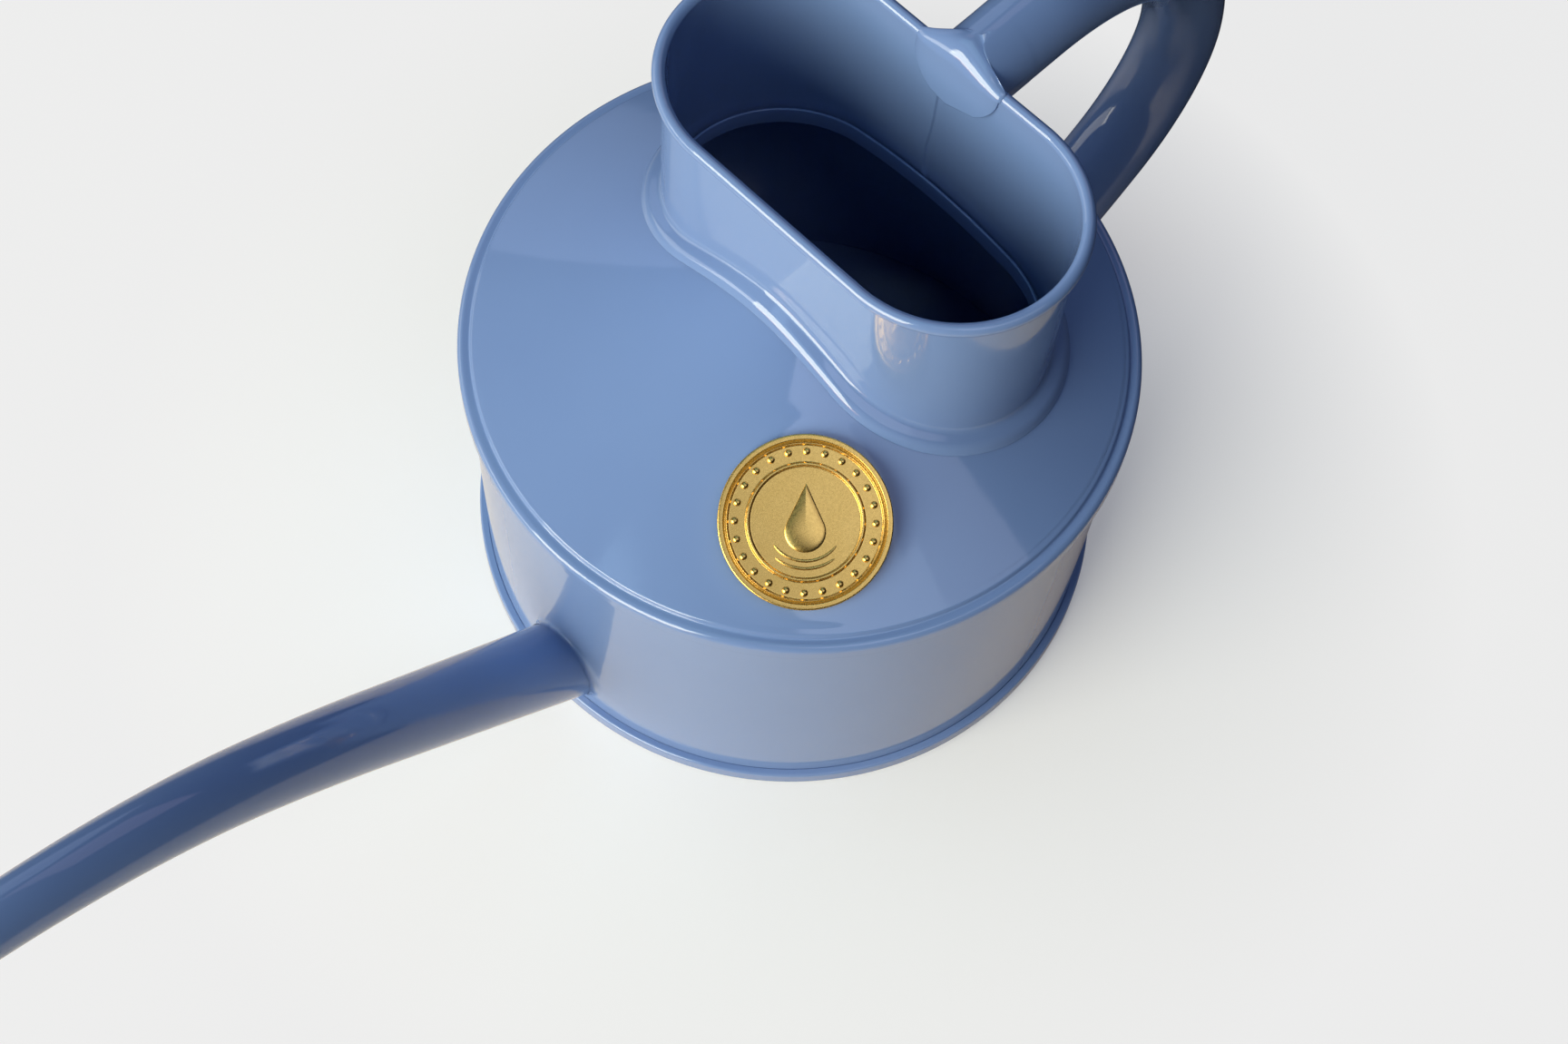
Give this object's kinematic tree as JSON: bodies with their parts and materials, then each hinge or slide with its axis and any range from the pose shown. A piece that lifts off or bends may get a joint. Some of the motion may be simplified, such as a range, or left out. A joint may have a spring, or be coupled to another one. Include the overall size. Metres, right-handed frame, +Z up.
{
  "type": "watering can",
  "caption": "Small indoor watering can of enamelled sheet steel with a drum, a cone shoulder, an oval neck, a loop handle and a long curved spout.",
  "frame": {"origin": "on the drum's axis, in the plane of the ring that the can stands on", "axes": "+Z up along the drum's axis, +X towards the spout's tip, -X towards the handle, Y across the can along the neck's long axis"},
  "size_m": [0.2794, 0.105, 0.1006],
  "materials": {
    "blue_enamel": "glossy slate blue enamel",
    "badge_brass": "polished, with a relief",
    "rim_steel": "plain drawn wire, inside the rim",
    "seam_compound": "matt sealing compound",
    "pad_foam": "matt adhesive pad"
  },
  "bodies": {
    "root": {"base_pan": "blue_enamel", "drum_wall": "blue_enamel", "base_seam_seal": "seam_compound", "shoulder_seam_seal": "seam_compound", "shoulder_cone": "blue_enamel", "neck_collar": "blue_enamel", "rim_wire": "rim_steel", "spout_tube": "blue_enamel", "spout_tip_ring": "blue_enamel", "spout_solder": "blue_enamel", "handle_tube": "blue_enamel", "handle_foot_solder": "blue_enamel", "handle_neck_solder": "blue_enamel", "badge_plate": "badge_brass", "badge_pad": "pad_foam"}
  },
  "joints": []
}
